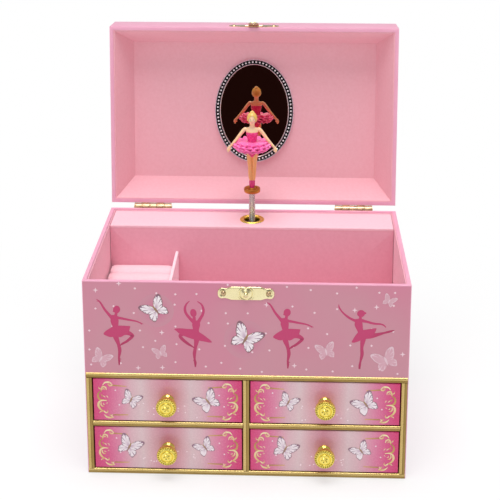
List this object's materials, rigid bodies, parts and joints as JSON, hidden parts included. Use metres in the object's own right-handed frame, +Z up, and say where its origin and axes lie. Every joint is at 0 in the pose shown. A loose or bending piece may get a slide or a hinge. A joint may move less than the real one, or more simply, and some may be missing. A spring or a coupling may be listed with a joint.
{
  "type": "ballerina jewellery box",
  "caption": "Jewellery box with drawers, a hinged mirror lid, a ring section and a clockwork movement that turns a dancer on a spring.",
  "frame": {"origin": "centre of the case's footprint on the surface it stands on", "axes": "+X to the right, +Y to the back, +Z up; the lid stands open at rest"},
  "size_m": [0.26, 0.2307, 0.344],
  "materials": {
    "printed_paper": "satin printed paper over board",
    "bare_board": "plain pressed board",
    "gold_foil": "satin gold foil paper",
    "flock_lining": "short flocked pile",
    "padded_flock": "soft flocked pile over foam",
    "brass_plate": "bright brass plating",
    "movement_steel": "nickel-plated steel",
    "movement_brass": "turned brass",
    "pedestal_gold": "satin gold plating",
    "figure_plastic": "painted moulded plastic",
    "tutu_plastic": "glossy hot pink plastic",
    "mirror_glass": "silvered glass",
    "frame_finish": "black and silver moulded plastic",
    "drawer_print": "glossy printed paper over board",
    "drawer_lining": "flocked board",
    "knob_gold": "polished gold plating"
  },
  "bodies": {
    "case": {"left_side_panel": "printed_paper", "right_side_panel": "printed_paper", "back_panel": "printed_paper", "upper_front_panel": "printed_paper", "base_board": "bare_board", "compartment_floor": "bare_board", "drawer_shelf": "bare_board", "drawer_partition": "bare_board", "drawer_face_frame": "gold_foil", "case_lining": "flock_lining", "music_cover": "flock_lining", "grommet": "brass_plate", "ring_divider": "flock_lining", "ring_tray": "flock_lining", "ring_rolls": "padded_flock", "clasp_plate": "brass_plate", "hinge_lower_leaves": "brass_plate", "hinge_pins": "brass_plate", "case_brads": "brass_plate", "movement_bedplate": "movement_steel", "comb": "movement_steel", "governor_bracket": "movement_steel", "movement_screws": "movement_steel"},
    "key": {"winding_key": "movement_steel", "spring_arbor": "movement_steel"},
    "barrel": {"spring_barrel": "movement_brass", "mainspring": "movement_steel"},
    "cylinder": {"pin_cylinder": "movement_brass", "cylinder_gear": "movement_brass"},
    "governor": {"governor_gear": "movement_brass"},
    "fan": {"governor_fan": "movement_steel"},
    "spindle": {"figure_spindle": "movement_steel"},
    "neck": {"figure_spring": "movement_steel"},
    "figure": {"pedestal": "pedestal_gold", "ballerina_figure": "figure_plastic", "tutu": "tutu_plastic"},
    "lid": {"lid_panel": "printed_paper", "lid_left_wall": "printed_paper", "lid_right_wall": "printed_paper", "lid_front_wall": "printed_paper", "lid_back_wall": "printed_paper", "lid_lining": "flock_lining", "mirror": "mirror_glass", "mirror_frame": "frame_finish", "hinge_upper_leaves": "brass_plate", "lid_brads": "brass_plate", "hasp_plate": "brass_plate"},
    "hasp": {"hasp_tongue": "brass_plate"},
    "upper_left_drawer": {"upper_left_front": "drawer_print", "upper_left_tray": "drawer_lining", "upper_left_knob": "knob_gold"},
    "upper_right_drawer": {"upper_right_front": "drawer_print", "upper_right_tray": "drawer_lining", "upper_right_knob": "knob_gold"},
    "lower_left_drawer": {"lower_left_front": "drawer_print", "lower_left_tray": "drawer_lining", "lower_left_knob": "knob_gold"},
    "lower_right_drawer": {"lower_right_front": "drawer_print", "lower_right_tray": "drawer_lining", "lower_right_knob": "knob_gold"}
  },
  "joints": [
    {"name": "lid_hinge", "type": "hinge", "parent": "case", "child": "lid", "pos_m": [0, 0.0852, 0.17], "axis": [1, 0, 0], "range_deg": [0, 95]},
    {"name": "hasp_hinge", "type": "hinge", "parent": "lid", "child": "hasp", "pos_m": [0, 0.10242, 0.33693], "axis": [1, 0, 0], "range_deg": [0, 11]},
    {"name": "neck_bend", "type": "hinge", "parent": "case", "child": "neck", "pos_m": [0, 0.0593, 0.1725], "axis": [1, 0, 0], "range_deg": [0, 90], "deforming": ["figure_spring"]},
    {"name": "figure_spin", "type": "hinge", "parent": "neck", "child": "figure", "pos_m": [0, 0.0593, 0.1725], "axis": [0, 0, 1], "continuous": true},
    {"name": "spindle_spin", "type": "hinge", "parent": "case", "child": "spindle", "pos_m": [0, 0.0593, 0.144], "axis": [0, 0, 1], "continuous": true},
    {"name": "barrel_spin", "type": "hinge", "parent": "case", "child": "barrel", "pos_m": [-0.0168, 0.0628, 0.11], "axis": [0, 1, 0], "continuous": true},
    {"name": "cylinder_spin", "type": "hinge", "parent": "case", "child": "cylinder", "pos_m": [-0.0168, 0.0593, 0.144], "axis": [0, 0, 1], "continuous": true},
    {"name": "governor_spin", "type": "hinge", "parent": "case", "child": "governor", "pos_m": [-0.028, 0.0593, 0.144], "axis": [0, 0, 1], "continuous": true},
    {"name": "fan_spin", "type": "hinge", "parent": "case", "child": "fan", "pos_m": [-0.0392, 0.0593, 0.144], "axis": [0, 0, 1], "continuous": true},
    {"name": "key_wind", "type": "hinge", "parent": "case", "child": "key", "pos_m": [-0.0168, 0.0815, 0.11], "axis": [0, 1, 0], "continuous": true},
    {"name": "upper_left_slide", "type": "slide", "parent": "case", "child": "upper_left_drawer", "axis": [0, -1, 0], "range_m": [0, 0.09]},
    {"name": "upper_right_slide", "type": "slide", "parent": "case", "child": "upper_right_drawer", "axis": [0, -1, 0], "range_m": [0, 0.09]},
    {"name": "lower_left_slide", "type": "slide", "parent": "case", "child": "lower_left_drawer", "axis": [0, -1, 0], "range_m": [0, 0.09]},
    {"name": "lower_right_slide", "type": "slide", "parent": "case", "child": "lower_right_drawer", "axis": [0, -1, 0], "range_m": [0, 0.09]}
  ],
  "couplings": [
    {"joint": "neck_bend", "follows": "lid_hinge", "ratio": 0.94737},
    {"joint": "cylinder_spin", "follows": "barrel_spin", "ratio": -2.4},
    {"joint": "spindle_spin", "follows": "barrel_spin", "ratio": 2.4},
    {"joint": "figure_spin", "follows": "barrel_spin", "ratio": 2.4},
    {"joint": "governor_spin", "follows": "barrel_spin", "ratio": 7.2},
    {"joint": "fan_spin", "follows": "barrel_spin", "ratio": -21.6}
  ]
}
